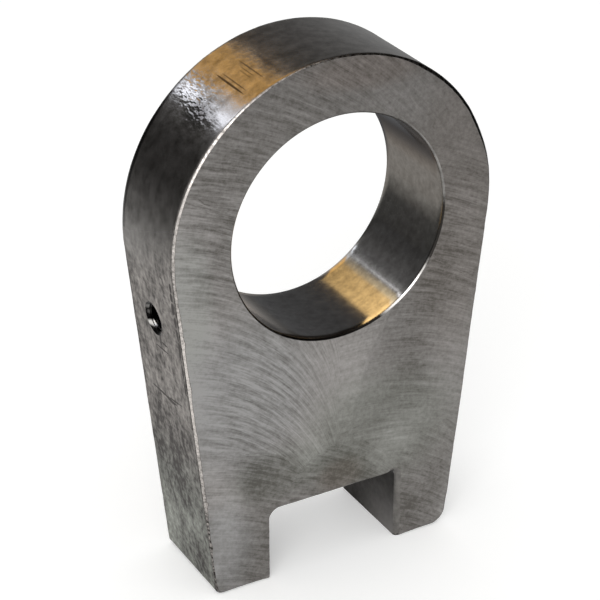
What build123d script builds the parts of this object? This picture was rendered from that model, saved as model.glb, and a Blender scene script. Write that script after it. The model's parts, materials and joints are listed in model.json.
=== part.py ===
from build123d import *
import math
import os

# Weld-on rod end, cut from one piece of steel. All sizes in millimetres.
# The origin is on the bore's axis, halfway through the thickness.
# X runs across the part, Y through its thickness (front face at -Y), Z up.

# Bore for the pin or its bush
bore_diameter = 80.0
bore_edge_break = 1.2

# Head: a round outline, cut slightly off the bore's axis
head_diameter = 120.0
head_offset_x = -1.3
head_offset_z = 0.3
thickness = 37.0
outline_edge_break = 1.0

# Shank: two flat flanks that leave the head on a tangent and narrow downwards
flank_taper = 6.0
bore_to_feet = 130.0

# Notch between the two weld feet, centred under the head
notch_width = 51.2
notch_depth = 28.3
notch_left_radius = 4.2
notch_right_radius = 2.5

# Hand-dressed outer corners of the feet, each with its own radius
left_foot_outer_radius = 3.0
right_foot_outer_radius = 6.0

# Grease port in the left flank: a tapped hole, and a drilled passage to the bore
port_below_tangent = 21.6
port_behind_middle = 2.0
port_thread_diameter = 10.0
port_thread_length = 12.0
port_countersink_diameter = 12.0
port_drill_point_angle = 118.0
passage_diameter = 5.0


def flank_normal(side):
    """Outward normal of a flank, as (x, z). side is 1 for the right flank, -1 for the left."""
    taper = math.radians(flank_taper)
    return side * math.cos(taper), -math.sin(taper)


def head_tangent(side):
    """Point where a flank leaves the head's arc, as (x, z)."""
    normal_x, normal_z = flank_normal(side)
    radius = head_diameter / 2
    return head_offset_x + radius * normal_x, head_offset_z + radius * normal_z


def flank_foot(side):
    """Sharp corner where a flank meets the plane of the feet, as (x, z)."""
    tangent_x, tangent_z = head_tangent(side)
    drop = tangent_z + bore_to_feet
    return tangent_x - side * drop * math.tan(math.radians(flank_taper)), -bore_to_feet


def rounded_corners():
    """Corners that are rounded, as ((x, z), radius). The feet's inner corners are left sharp."""
    notch_left = head_offset_x - notch_width / 2
    notch_right = head_offset_x + notch_width / 2
    notch_top = notch_depth - bore_to_feet
    return [
        (flank_foot(-1), left_foot_outer_radius),
        ((notch_left, notch_top), notch_left_radius),
        ((notch_right, notch_top), notch_right_radius),
        (flank_foot(1), right_foot_outer_radius),
    ]


def outline():
    """Front view of the body without its bore."""
    corners = rounded_corners()
    points = [point for point, radius in corners]
    points.insert(1, (head_offset_x - notch_width / 2, -bore_to_feet))
    points.insert(4, (head_offset_x + notch_width / 2, -bore_to_feet))
    crown = (head_offset_x, head_offset_z + head_diameter / 2)
    lower_edge = Polyline(head_tangent(-1), *points, head_tangent(1))
    head_arc = ThreePointArc(head_tangent(-1), crown, head_tangent(1))
    face = make_face(lower_edge.edges() + head_arc.edges())
    for point, radius in corners:
        face = fillet(face.vertices().sort_by_distance(point)[0], radius)
    return face


def solid_blank():
    """Body with its outline and its broken front and back edges."""
    blank = extrude(Plane.XZ * outline(), amount=thickness / 2, both=True)
    face_edges = blank.faces().filter_by(Axis.Y).edges()
    return chamfer(face_edges, outline_edge_break)


def bore_cutter():
    """Bore with a cone at each mouth that breaks its edge."""
    radius = bore_diameter / 2
    profile = make_face(
        Polyline(
            (0, -thickness / 2),
            (radius + bore_edge_break, -thickness / 2),
            (radius, -thickness / 2 + bore_edge_break),
            (radius, thickness / 2 - bore_edge_break),
            (radius + bore_edge_break, thickness / 2),
            (0, thickness / 2),
            close=True,
        )
    )
    return revolve(profile, Axis.Y)


def port_plane():
    """Plane on the left flank at the grease port, with its normal pointing out of the mouth."""
    normal_x, normal_z = flank_normal(-1)
    tangent_x, tangent_z = head_tangent(-1)
    down_x, down_z = -normal_z, normal_x
    centre = Vector(
        tangent_x + port_below_tangent * down_x,
        port_behind_middle,
        tangent_z + port_below_tangent * down_z,
    )
    return Plane(origin=centre, x_dir=(0, 1, 0), z_dir=(normal_x, 0, normal_z))


def passage_length():
    """Distance along the port's axis from the flank to the middle of the bore's width."""
    plane = port_plane()
    inward = -plane.z_dir
    return -(plane.origin.X * inward.X + plane.origin.Z * inward.Z)


def port_cutter():
    """Countersink, tapped hole with its drill point, and the passage, turned about one axis."""
    thread_radius = port_thread_diameter / 2
    sink_radius = port_countersink_diameter / 2
    passage_radius = passage_diameter / 2
    sink_depth = sink_radius - thread_radius
    thread_end = sink_depth + port_thread_length
    point_rise = (thread_radius - passage_radius) / math.tan(math.radians(port_drill_point_angle / 2))
    profile = make_face(
        Polyline(
            (0, 0),
            (sink_radius, 0),
            (thread_radius, -sink_depth),
            (thread_radius, -thread_end),
            (passage_radius, -thread_end - point_rise),
            (passage_radius, -passage_length()),
            (0, -passage_length()),
            close=True,
        )
    )
    return port_plane() * (Rot(X=90) * revolve(profile, Axis.Y))


def rod_end_body():
    """The whole rod end."""
    return solid_blank() - bore_cutter() - port_cutter()


os.makedirs("parts", exist_ok=True)
export_step(rod_end_body(), "parts/rod_end_body.step")
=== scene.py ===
import json
import logging
import math
from collections.abc import Callable
from dataclasses import dataclass, field
from enum import IntEnum
from functools import partial
from typing import NamedTuple

import bmesh
import bpy
import numpy as np
from bpy.types import ID, Material, Mesh, Node, NodeSocket, NodeTree, Object, World
from mathutils import Matrix, Vector, noise
from mathutils.geometry import delaunay_2d_cdt


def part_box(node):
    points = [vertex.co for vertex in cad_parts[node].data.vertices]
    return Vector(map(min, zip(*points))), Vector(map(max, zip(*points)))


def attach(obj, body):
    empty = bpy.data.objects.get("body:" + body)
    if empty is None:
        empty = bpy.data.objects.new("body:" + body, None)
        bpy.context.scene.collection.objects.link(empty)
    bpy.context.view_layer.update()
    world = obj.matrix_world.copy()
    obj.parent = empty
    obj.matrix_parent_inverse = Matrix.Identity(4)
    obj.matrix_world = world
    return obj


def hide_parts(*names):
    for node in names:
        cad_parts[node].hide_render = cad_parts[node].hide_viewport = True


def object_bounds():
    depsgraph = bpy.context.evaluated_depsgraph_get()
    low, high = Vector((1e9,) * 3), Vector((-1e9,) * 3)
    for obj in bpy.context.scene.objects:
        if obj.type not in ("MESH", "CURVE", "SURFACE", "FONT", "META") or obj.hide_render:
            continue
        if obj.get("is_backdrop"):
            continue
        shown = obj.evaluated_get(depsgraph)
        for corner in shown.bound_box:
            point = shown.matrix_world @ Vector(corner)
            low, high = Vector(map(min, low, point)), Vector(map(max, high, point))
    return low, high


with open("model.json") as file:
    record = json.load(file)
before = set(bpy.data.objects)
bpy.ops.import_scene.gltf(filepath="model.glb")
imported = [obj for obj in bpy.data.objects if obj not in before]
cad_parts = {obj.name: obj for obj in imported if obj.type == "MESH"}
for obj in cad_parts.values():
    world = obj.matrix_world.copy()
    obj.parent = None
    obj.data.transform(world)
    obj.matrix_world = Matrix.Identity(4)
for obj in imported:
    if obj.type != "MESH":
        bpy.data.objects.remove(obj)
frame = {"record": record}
CAD_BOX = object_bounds()

# Weld-on rod end: a one-piece steel eye with a pin bore, a tapped grease port and two weld feet.
# Lengths are metres, as in the frame; MM turns a size written in millimetres into metres.
# X runs across the part, Y through its thickness with the front face at -Y, Z up.
MM = 0.001
BODY_NODE = "rod_end_body"
RIDES_ON = "root"
LOG = logging.getLogger("rod_end")
# Vertices nearer to each other than this are one.
WELD = 1e-7
# What feeds a node's input: a socket, or a node for the first of its outputs in use.
Source = Node | NodeSocket
# What adds a node to one tree: add_node with the tree filled in.
Add = Callable[..., Node]
# Nearly all values of a noise lie between these.
NOISE_LOW, NOISE_HIGH = 0.3, 0.7


class Region(IntEnum):
    """Kinds of surface on the steel body, in the order of its material slots."""

    FACE = 0
    RIM = 1
    NOTCH = 2
    FOOT = 3
    BORE = 4
    EDGE = 5
    CREST = 6
    PORT = 7
    MOUTH = 8
    RUBBED = 9


def linear(hex_colour: str) -> tuple[float, float, float, float]:
    """Turn an sRGB hex colour into a linear one.

    Args:
        hex_colour: Colour as six hex digits after a hash.

    Returns:
        Red, green, blue and alpha, linear.
    """
    channels = [int(hex_colour[i:i + 2], 16) / 255 for i in (1, 3, 5)]
    toe, slope, offset, power = 0.04045, 12.92, 0.055, 2.4
    values = [c / slope if c <= toe else ((c + offset) / (1 + offset)) ** power for c in channels]
    return (*values, 1.0)


def add_node(
    tree: NodeTree,
    kind: str,
    inputs: dict[str | int, object] | None = None,
    **settings: object,
) -> Node:
    """Add one node with its settings, and set or link its inputs.

    Args:
        tree: Node tree that takes the node.
        kind: Blender's name for the type of node.
        inputs: Values, sockets or nodes that feed it, by the name or number of the input.
        **settings: Properties of the node, such as its operation.

    Returns:
        The new node.
    """
    node = tree.nodes.new(kind)
    for name, value in settings.items():
        setattr(node, name, value)
    for key, value in (inputs or {}).items():
        if isinstance(value, Node):
            value = next(output for output in value.outputs if output.enabled)
        if isinstance(value, NodeSocket):
            tree.links.new(value, node.inputs[key])
        else:
            node.inputs[key].default_value = value
    return node


def fresh_tree(owner: Material | World) -> Add:
    """Turn on the nodes of a material or a world, and clear away those that it has.

    Args:
        owner: The material or the world.

    Returns:
        What adds a node to its tree.
    """
    owner.use_nodes = True
    owner.node_tree.nodes.clear()
    return partial(add_node, owner.node_tree)


def link_object(name: str, data: ID) -> Object:
    """Put a new object with this data into the scene, at the origin.

    Args:
        name: Name of the object.
        data: Mesh, light or camera that it shows.

    Returns:
        The new object.
    """
    made = bpy.data.objects.new(name, data)
    bpy.context.scene.collection.objects.link(made)
    return made


def eased(value: float, start: float, end: float) -> float:
    """Rise smoothly from 0 at start to 1 at end."""
    share = min(1.0, max(0.0, (value - start) / (end - start)))
    return share * share * (3 - 2 * share)


@dataclass(frozen=True)
class RodEndSizes:
    """Sizes of the rod end in metres. What the frame states is read from it."""

    half_thickness: float
    head_radius: float
    head_x: float
    head_z: float
    feet_z: float
    notch_top_z: float
    bore_radius: float
    bore_edge_break: float
    taper: float
    port_mouth: Vector
    port_axis: Vector
    port_radius: float
    port_length: float
    notch_width: float = 51.2 * MM
    notch_left_radius: float = 4.2 * MM
    notch_right_radius: float = 2.5 * MM
    left_foot_radius: float = 3.0 * MM
    right_foot_outer_radius: float = 6.0 * MM
    narrow_edge: float = 0.5 * MM
    wide_edge: float = 0.85 * MM
    sink_depth: float = 1.0 * MM
    passage_radius: float = 2.5 * MM
    drill_point: float = math.radians(118)

    @classmethod
    def from_frame(cls, record: dict) -> "RodEndSizes":
        """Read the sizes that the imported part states.

        Args:
            record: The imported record, with the part's mounts.

        Returns:
            The sizes of this rod end.
        """
        low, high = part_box(BODY_NODE)
        mounts = {mount["name"]: mount for mount in record["mounts"]}
        bore = mounts["pin_bore"]
        port = mounts["grease_port"]
        axis = Vector(port["axis"]).normalized()
        length = port["dims"]["length_mm"] * MM
        radius = (high.x - low.x) / 2
        half = (high.y - low.y) / 2
        return cls(
            half_thickness=half,
            head_radius=radius,
            head_x=(high.x + low.x) / 2,
            head_z=high.z - radius,
            feet_z=low.z,
            notch_top_z=mounts["notch_seat"]["pos_m"][2],
            bore_radius=bore["dims"]["r_mm"] * MM,
            bore_edge_break=half - bore["dims"]["length_mm"] * MM / 2,
            taper=math.asin(-axis.z),
            port_mouth=Vector(port["pos_m"]) + axis * (length / 2 + cls.sink_depth),
            port_axis=axis,
            port_radius=port["dims"]["r_mm"] * MM,
            port_length=length,
        )


class Samples(NamedTuple):
    """Points along the closed outline, counter-clockwise as seen from the front."""

    place: np.ndarray
    inset: np.ndarray
    region: np.ndarray
    run: np.ndarray
    sharp: list[int]


@dataclass(frozen=True)
class Outline:
    """Front view of the body without its bore: head arc, flanks, feet and notch."""

    sizes: RodEndSizes
    step: float = 0.8 * MM
    corner_step: float = 0.35 * MM

    def flank_normal(self, side: int) -> np.ndarray:
        """Outward normal of a flank, 1 for the right one and -1 for the left."""
        return np.array([side * math.cos(self.sizes.taper), -math.sin(self.sizes.taper)])

    def head_centre(self) -> np.ndarray:
        """Centre of the head's arc."""
        return np.array([self.sizes.head_x, self.sizes.head_z])

    def head_tangent(self, side: int) -> np.ndarray:
        """Point where a flank leaves the head's arc."""
        return self.head_centre() + self.sizes.head_radius * self.flank_normal(side)

    def flank_foot(self, side: int) -> np.ndarray:
        """Sharp corner where a flank would meet the plane of the feet."""
        start = self.head_tangent(side)
        drop = start[1] - self.sizes.feet_z
        return np.array([start[0] - side * drop * math.tan(self.sizes.taper), self.sizes.feet_z])

    def corners(self) -> list[tuple[np.ndarray, float, Region]]:
        """Corners from the left flank round to the right one.

        Returns:
            Each corner's place, its radius, and the region of the straight run after it.
        """
        s = self.sizes
        left, right = s.head_x - s.notch_width / 2, s.head_x + s.notch_width / 2
        return [
            (self.flank_foot(-1), s.left_foot_radius, Region.FOOT),
            (np.array([left, s.feet_z]), 0.0, Region.NOTCH),
            (np.array([left, s.notch_top_z]), s.notch_left_radius, Region.NOTCH),
            (np.array([right, s.notch_top_z]), s.notch_right_radius, Region.NOTCH),
            (np.array([right, s.feet_z]), 0.0, Region.FOOT),
            (self.flank_foot(1), s.right_foot_outer_radius, Region.RIM),
        ]

    def sample(self) -> Samples:
        """Walk the outline in short steps.

        Returns:
            The points, their inward normals, regions and runs, and which are sharp corners.
        """
        places, insets, regions, sharp = [], [], [], []

        def straight(start: np.ndarray, end: np.ndarray, region: Region) -> None:
            """Add the points of a straight run, without its last one.

            Args:
                start: Its first point.
                end: Its last point.
                region: Region of the wall along it.
            """
            length = np.linalg.norm(end - start)
            step = self.corner_step if region == Region.FOOT else self.step
            count = max(2, math.ceil(length / step))
            along = (end - start) / length
            for k in range(count):
                places.append(start + along * length * k / count)
                insets.append(np.array([-along[1], along[0]]))
                regions.append(region)

        def arc(
            centre: np.ndarray, start: np.ndarray, turn: float, step: float, region: Region,
        ) -> None:
            """Add the points of an arc, without its last one.

            Args:
                centre: Centre of the arc.
                start: Its first point.
                turn: Angle that it goes through; positive on a convex corner.
                step: Longest step along it.
                region: Region of the wall along it.
            """
            arm = start - centre
            radius = np.linalg.norm(arm)
            count = max(3, math.ceil(radius * abs(turn) / step))
            for k in range(count):
                angle = turn * k / count
                c, s = math.cos(angle), math.sin(angle)
                spoke = np.array([c * arm[0] - s * arm[1], s * arm[0] + c * arm[1]])
                places.append(centre + spoke)
                insets.append(-spoke / radius * math.copysign(1, turn))
                regions.append(region)

        at = self.head_tangent(-1)
        region = Region.RIM
        corners = self.corners()
        after_last = self.head_tangent(1)
        for k, (corner, radius, next_region) in enumerate(corners):
            following = corners[k + 1][0] if k + 1 < len(corners) else after_last
            before = (corner - at) / np.linalg.norm(corner - at)
            after = (following - corner) / np.linalg.norm(following - corner)
            turn = math.atan2(before[0] * after[1] - before[1] * after[0], before @ after)
            reach = radius * math.tan(abs(turn) / 2)
            straight(at, corner - before * reach, region)
            if radius:
                side = math.copysign(1, turn) * np.array([-before[1], before[0]])
                start = corner - before * reach
                arc_region = Region.RIM if Region.RIM in (region, next_region) else Region.NOTCH
                arc(start + side * radius, start, turn, self.corner_step, arc_region)
            else:
                sharp.append(len(places))
            at = corner + after * reach
            region = next_region
        straight(at, after_last, region)
        arc(self.head_centre(), after_last, math.pi + 2 * self.sizes.taper, self.step, Region.RIM)

        place = np.array(places)
        run = np.concatenate([[0], np.cumsum(np.linalg.norm(np.diff(place, axis=0), axis=1))])
        return Samples(place, np.array(insets), np.array(regions), run, sharp)


@dataclass(frozen=True)
class Nick:
    """A knock in the front edge, from the left flank's top down the outline, in millimetres."""

    run: float
    width: float
    depth: float

    def width_at(self, run: float) -> float:
        """Extra width in metres, at a run in metres."""
        return self.depth * MM * math.exp(-((run / MM - self.run) / self.width) ** 2)


@dataclass(frozen=True)
class Wear:
    """A stretch of the front edge broken wider: an oval seen from the front, in millimetres."""

    x: float
    z: float
    wide: float
    high: float
    extra: float
    walls: tuple[Region, ...] = (Region.RIM, Region.FOOT)
    full_at: float = 0.5

    def width_at(self, x: float, z: float, wall: Region) -> float:
        """Extra width at one point of the outline.

        Args:
            x: The point's X in metres.
            z: Its Z in metres.
            wall: Region of the wall there.

        Returns:
            The width in metres.
        """
        if wall not in self.walls:
            return 0.0
        away = math.hypot((x / MM - self.x) / self.wide, (z / MM - self.z) / self.high)
        return self.extra * MM * eased(1 - away, 0.0, self.full_at)


@dataclass
class RodEndBody:
    """The steel eye: one closed mesh with worn edges, built on the part's own outline."""

    sizes: RodEndSizes
    rows: int = 34
    fade_rows: int = 2
    edge_rows: int = 6
    crest_share: float = 2 / 3
    bore_columns: int = 360
    bore_rows: int = 14
    bore_edge_rows: int = 5
    bore_edge_share: float = 0.52
    bore_edge_wander: float = 0.05
    bore_lane: float = 3.0
    bore_ripple: float = 2.0
    port_columns: int = 72
    face_step: float = 3.2 * MM
    edge_fullness: float = 1.25
    rubbed_fullness: float = 1.75
    rubbed_width: float = 1.2 * MM
    mitre_reach: float = 6.0 * MM
    edge_wander: float = 0.35
    slow_wander: float = 7 * MM
    quick_wander: float = 1.3 * MM
    quick_share: float = 0.5
    # The back edge reads the noise this far from where the front edge does.
    back_lane: float = 50.0
    dressed_x: tuple[float, float] = (20 * MM, 46 * MM)
    dressed_z: tuple[float, float] = (-8 * MM, 5 * MM)
    dressed_calm: float = 0.7
    flank_relief: float = 0.10 * MM
    head_relief: float = 0.02 * MM
    relief_length: float = 5.0 * MM
    crease: float = math.radians(32)
    nicks: tuple[Nick, ...] = (
        Nick(11.0, 0.7, 0.25),
        Nick(21.4, 1.1, 0.35),
        Nick(40.0, 1.6, 0.30),
        Nick(58.0, 1.2, 0.25),
        Nick(86.0, 0.9, 0.70),
        Nick(104.0, 1.8, 0.35),
    )
    wears: tuple[Wear, ...] = (
        Wear(47, 41, 30, 34, 0.75),
        Wear(56, -22, 14, 70, 0.25),
        Wear(-56, -52, 16, 76, 0.55),
        Wear(24.3, -116, 4, 40, 1.25, (Region.NOTCH,)),
        Wear(44, -131, 20, 16, 0.4),
        Wear(48, -116, 10, 30, 0.35),
        Wear(-44, -133, 20, 10, 0.5),
    )
    places: list[Vector] = field(default_factory=list)
    faces: list[tuple[int, ...]] = field(default_factory=list)
    regions: list[int] = field(default_factory=list)

    def edge_profile(self, steps: int, fullness: float) -> list[tuple[float, float]]:
        """Section of a broken edge, from the face to the wall.

        Args:
            steps: Number of steps.
            fullness: 1 for a flat bevel, 2 for a round edge.

        Returns:
            Shares of the edge's width, as (inset from the wall, depth from the face).
        """
        power = 2 / fullness
        angles = [math.pi / 2 * k / steps for k in range(steps + 1)]
        return [(1 - math.sin(a) ** power, 1 - math.cos(a) ** power) for a in angles]

    def edge_width(self, samples: Samples, i: int, front: bool) -> float:
        """Width of the hand-broken edge at one point of the outline.

        Args:
            samples: Points of the outline.
            i: Number of the point.
            front: True for the front edge, False for the back one.

        Returns:
            The width in metres.
        """
        x, z = samples.place[i]
        run = samples.run[i]
        lane = 0.0 if front else self.back_lane
        slow_height, quick_height = 0.5, 7.5
        slow = noise.noise(Vector((run / self.slow_wander, lane, slow_height)))
        quick = noise.noise(Vector((run / self.quick_wander, lane, quick_height)))
        dressed = eased(-x, *self.dressed_x) * eased(z, *self.dressed_z)
        width = self.sizes.narrow_edge + (self.sizes.wide_edge - self.sizes.narrow_edge) * dressed
        wander = self.edge_wander * (slow + self.quick_share * quick)
        width *= 1 + (1 - self.dressed_calm * dressed) * wander
        if front:
            width += sum(wear.width_at(x, z, samples.region[i]) for wear in self.wears)
            width += sum(nick.width_at(run) for nick in self.nicks)
        return width

    def broken_edge(self, samples: Samples, front: bool) -> tuple[np.ndarray, np.ndarray]:
        """Size of one broken edge all round the outline, mitred at its sharp corners.

        Args:
            samples: Points of the outline.
            front: True for the front edge, False for the back one.

        Returns:
            How far each point moves in on the face, and how deep the edge reaches down the wall.
        """
        width = np.array([self.edge_width(samples, i, front) for i in range(len(samples.place))])
        inset = samples.inset * width[:, None]
        depth = width.copy()
        power = 2 / self.rubbed_fullness
        for at in samples.sharp:
            corner = samples.place[at]
            inset[at] = samples.inset[at - 1] * width[at - 1] + samples.inset[at + 1] * width[at + 1]
            depth[at] = max(width[at - 1], width[at + 1])
            for side in (-1, 1):
                beyond = width[at - side]
                k = at + side
                while (away := np.linalg.norm(samples.place[k] - corner)) < self.mitre_reach:
                    along = (samples.place[k] - corner) / away
                    inset[k] += along * beyond * (1 - away / self.mitre_reach)
                    share = max(0.0, 1 - away / beyond) ** (2 / power)
                    depth[k] += max(0.0, beyond - width[k]) * (1 - (1 - share) ** (power / 2))
                    k += side
        return inset, depth

    def hollow(self, place: Vector, region: Region) -> float:
        """Depth by which the cut wall lies under its nominal surface.

        Args:
            place: Point on the wall.
            region: Region of the wall there.

        Returns:
            The depth in metres.
        """
        relief = self.head_relief if place.z > self.sizes.head_z else self.flank_relief
        if region in (Region.NOTCH, Region.FOOT):
            relief = self.flank_relief / 2
        dimension, lacunarity, octaves = 0.8, 2.1, 4
        wave = noise.fractal(place / self.relief_length, dimension, lacunarity, octaves)
        return relief * min(1.0, max(0.0, 0.5 + 0.5 * wave))

    def skin(
        self,
        columns: list[list[Vector]],
        paint: Callable[[int, int], Region],
        outwards: bool,
    ) -> tuple[list[int], list[int]]:
        """Join columns of places into a wall that closes on itself.

        Args:
            columns: Columns round the wall, each from the front to the back.
            paint: Gives the region of the faces beside a column, by column and row.
            outwards: True where the wall faces away from what it goes round.

        Returns:
            The vertices of the loops that bound the front and the back face.
        """
        first, high = len(self.places), len(columns[0])
        for i, column in enumerate(columns):
            self.places += column
            here, beside = first + i * high, first + (i + 1) % len(columns) * high
            for j in range(high - 1):
                face = (here + j, here + j + 1, beside + j + 1, beside + j)
                self.faces.append(face if outwards else face[:1] + face[:0:-1])
                self.regions.append(paint(i, j))
        front = [first + i * high for i in range(len(columns))]
        return front, [vertex + high - 1 for vertex in front]

    def add_wall(self, samples: Samples) -> tuple[list[int], list[int]]:
        """Build the wall round the outline, with both broken edges.

        Args:
            samples: Points of the outline.

        Returns:
            The vertices of the loops that bound the front and the back face.
        """
        half = self.sizes.half_thickness
        front_inset, front_depth = self.broken_edge(samples, True)
        back_inset, back_depth = self.broken_edge(samples, False)
        rubbed = (front_depth > self.rubbed_width) & (samples.region == Region.NOTCH)
        plain = self.edge_profile(self.edge_rows, self.edge_fullness)
        full = self.edge_profile(self.edge_rows, self.rubbed_fullness)
        columns = []
        for i, (x, z) in enumerate(samples.place):
            column = []
            for inset, depth in full if rubbed[i] else plain:
                column.append((front_inset[i] * inset, front_depth[i] * depth - half))
            start, end = front_depth[i] - half, half - back_depth[i]
            for k in range(1, self.rows):
                y = start + (end - start) * k / self.rows
                fade = min(1.0, k / self.fade_rows, (self.rows - k) / self.fade_rows)
                hollow = self.hollow(Vector((x, y, z)), samples.region[i])
                column.append((samples.inset[i] * fade * hollow, y))
            for inset, depth in reversed(plain):
                column.append((back_inset[i] * inset, half - back_depth[i] * depth))
            columns.append([Vector((x + inward[0], y, z + inward[1])) for inward, y in column])
        last = len(columns[0]) - 2

        def paint(i: int, j: int) -> Region:
            """Choose the region of one face.

            Args:
                i: Its column.
                j: Its row, from the front.

            Returns:
                The wall, a broken edge, or the crest in the middle of an edge, which carries painted
                highlight and shade.
            """
            if j < self.edge_rows and rubbed[i] and rubbed[(i + 1) % len(columns)]:
                return Region.RUBBED
            from_side = min(j, last - j)
            if from_side >= self.edge_rows:
                return samples.region[i]
            on_crest = 0 < from_side < self.edge_rows * self.crest_share
            return Region.CREST if on_crest else Region.EDGE

        return self.skin(columns, paint, True)

    def add_bore(self) -> tuple[list[int], list[int]]:
        """Build the bore's wall with its two broken edges.

        Returns:
            The vertices of the loops that bound the front and the back face.
        """
        half = self.sizes.half_thickness
        section = self.edge_profile(self.bore_edge_rows, self.edge_fullness)
        columns = []
        for i in range(self.bore_columns):
            angle = 2 * math.pi * i / self.bore_columns
            ring = Vector((math.cos(angle), math.sin(angle), self.bore_lane))
            wander = noise.noise(ring * self.bore_ripple)
            share = self.bore_edge_share + self.bore_edge_wander * wander
            width = self.sizes.bore_edge_break * share
            column = [(inset * width, -half + depth * width) for inset, depth in section]
            for k in range(1, self.bore_rows):
                column.append((0.0, (-half + width) * (1 - 2 * k / self.bore_rows)))
            column += [(inset * width, half - depth * width) for inset, depth in reversed(section)]
            columns.append([])
            for outward, y in column:
                radius = self.sizes.bore_radius + outward
                columns[-1].append(Vector((radius * math.cos(angle), y, radius * math.sin(angle))))
        last = len(columns[0]) - 2

        def paint(i: int, j: int) -> Region:
            """The bore, or its broken edges."""
            return Region.MOUTH if min(j, last - j) < self.bore_edge_rows else Region.BORE

        return self.skin(columns, paint, False)

    def add_face(self, rim: list[int], bore: list[int], front: bool) -> None:
        """Fill the face between the outline and the bore with even triangles.

        Args:
            rim: Vertices of the outer loop.
            bore: Vertices of the loop round the bore.
            front: True for the face at -Y, False for the one at +Y.
        """
        border = rim + bore
        flat = [(self.places[i].x, self.places[i].z) for i in border]
        edges = [(k, (k + 1) % len(rim)) for k in range(len(rim))]
        edges += [(len(rim) + k, len(rim) + (k + 1) % len(bore)) for k in range(len(bore))]
        rings = np.array(flat[:len(rim)]), np.array(flat[len(rim):])
        points = [Vector(p) for p in [*flat, *self.face_points(rings[0])]]
        made = delaunay_2d_cdt(points, edges, [], 0, WELD)
        coords, triangles, origins = made[0], made[2], made[3]
        y = self.places[rim[0]].y
        index = []
        for k, point in enumerate(coords):
            source = [o for o in origins[k] if o < len(border)]
            if source:
                index.append(border[source[0]])
            else:
                index.append(len(self.places))
                self.places.append(Vector((point.x, y, point.y)))
        middles = np.array([sum((coords[v] for v in t), Vector((0, 0))) / 3 for t in triangles])
        solid = inside(middles, rings[0]) & ~inside(middles, rings[1])
        for triangle in (t for t, keep in zip(triangles, solid) if keep):
            a, b, c = (coords[v] for v in triangle)
            ccw = (b - a).cross(c - a) > 0
            corner = [index[v] for v in triangle]
            self.faces.append(tuple(corner if ccw == front else reversed(corner)))
            self.regions.append(Region.FACE)

    def face_points(self, rim: np.ndarray) -> list[tuple[float, float]]:
        """Points of an even lattice that lie well inside the face.

        Args:
            rim: Corners of the outer loop, as rows.

        Returns:
            The points, as (x, z).
        """
        s = self.sizes
        rise = self.face_step * math.sqrt(3) / 2
        xs = np.arange(rim[:, 0].min(), rim[:, 0].max(), self.face_step)
        zs = np.arange(rim[:, 1].min(), rim[:, 1].max(), rise)
        lattice = [(x + (k % 2) * self.face_step / 2, z) for k, z in enumerate(zs) for x in xs]
        points = np.array(lattice)
        keep = inside(points, rim)
        keep &= np.hypot(*points.T) > s.bore_radius + s.bore_edge_break + self.face_step / 2
        gap = np.min(np.linalg.norm(points[:, None] - rim[None, ::2], axis=2), axis=1)
        keep &= gap > self.face_step / 2
        return [tuple(p) for p in points[keep]]

    def cut_port(self, body: Object) -> Mesh:
        """Cut the tapped port and its passage out of the body.

        Args:
            body: Object with the closed body.

        Returns:
            The mesh with the port in it.
        """
        s = self.sizes
        proud = 1.0 * MM
        deep = s.sink_depth + s.port_length
        point_rise = (s.port_radius - s.passage_radius) / math.tan(s.drill_point / 2)
        reach = s.port_mouth.xz.length - s.bore_radius / 2
        profile = [
            (0, proud),
            (s.port_radius + s.sink_depth + proud, proud),
            (s.port_radius, -s.sink_depth),
            (s.port_radius, -deep),
            (s.passage_radius, -deep - point_rise),
            (s.passage_radius, -reach),
            (0, -reach),
        ]
        mesh = lathe("port_cutter", profile, self.port_columns)
        mesh.transform(port_frame(s))
        for slot in body.data.materials:
            mesh.materials.append(slot)
        mesh.polygons.foreach_set("material_index", [int(Region.PORT)] * len(mesh.polygons))
        cutter = link_object("port_cutter", mesh)
        cut = body.modifiers.new("port", "BOOLEAN")
        cut.operation = "DIFFERENCE"
        cut.solver = "EXACT"
        cut.material_mode = "INDEX"
        cut.object = cutter
        graph = bpy.context.evaluated_depsgraph_get()
        result = bpy.data.meshes.new_from_object(body.evaluated_get(graph))
        body.modifiers.remove(cut)
        bpy.data.objects.remove(cutter)
        bpy.data.meshes.remove(mesh)
        return result

    def build(self, finishes: list[Material]) -> Object:
        """Make the body's mesh, cut its port and dress it.

        Args:
            finishes: One material for each region, in the regions' order.

        Returns:
            The finished object.
        """
        rims = self.add_wall(Outline(self.sizes).sample())
        bores = self.add_bore()
        for rim, bore, front in zip(rims, bores, (True, False)):
            self.add_face(rim, bore, front)
        mesh = bpy.data.meshes.new("eye_body")
        mesh.from_pydata(self.places, [], self.faces)
        for finish in finishes:
            mesh.materials.append(finish)
        mesh.polygons.foreach_set("material_index", [int(r) for r in self.regions])
        body = link_object("eye_body", mesh)
        body.data = self.cut_port(body)
        body.data.name = "eye_body_cut"
        sharpen(body.data, self.crease)
        return body


def inside(points: np.ndarray, ring: np.ndarray) -> np.ndarray:
    """Tell which points lie inside a closed ring.

    Args:
        points: Points to test, as rows.
        ring: Corners of the ring, as rows.

    Returns:
        True for each point inside.
    """
    x, z = points[:, :1], points[:, 1:]
    x0, z0 = ring[:, 0], ring[:, 1]
    x1, z1 = np.roll(x0, -1), np.roll(z0, -1)
    crosses = (z0 > z) != (z1 > z)
    rise = np.where(z1 == z0, 1.0, z1 - z0)
    left = x < x0 + (z - z0) * (x1 - x0) / rise
    return (np.sum(crosses & left, axis=1) % 2).astype(bool)


def weld(shape: bmesh.types.BMesh) -> None:
    """Merge doubled vertices and turn the faces outwards."""
    bmesh.ops.remove_doubles(shape, verts=shape.verts, dist=WELD)
    bmesh.ops.recalc_face_normals(shape, faces=shape.faces)


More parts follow.
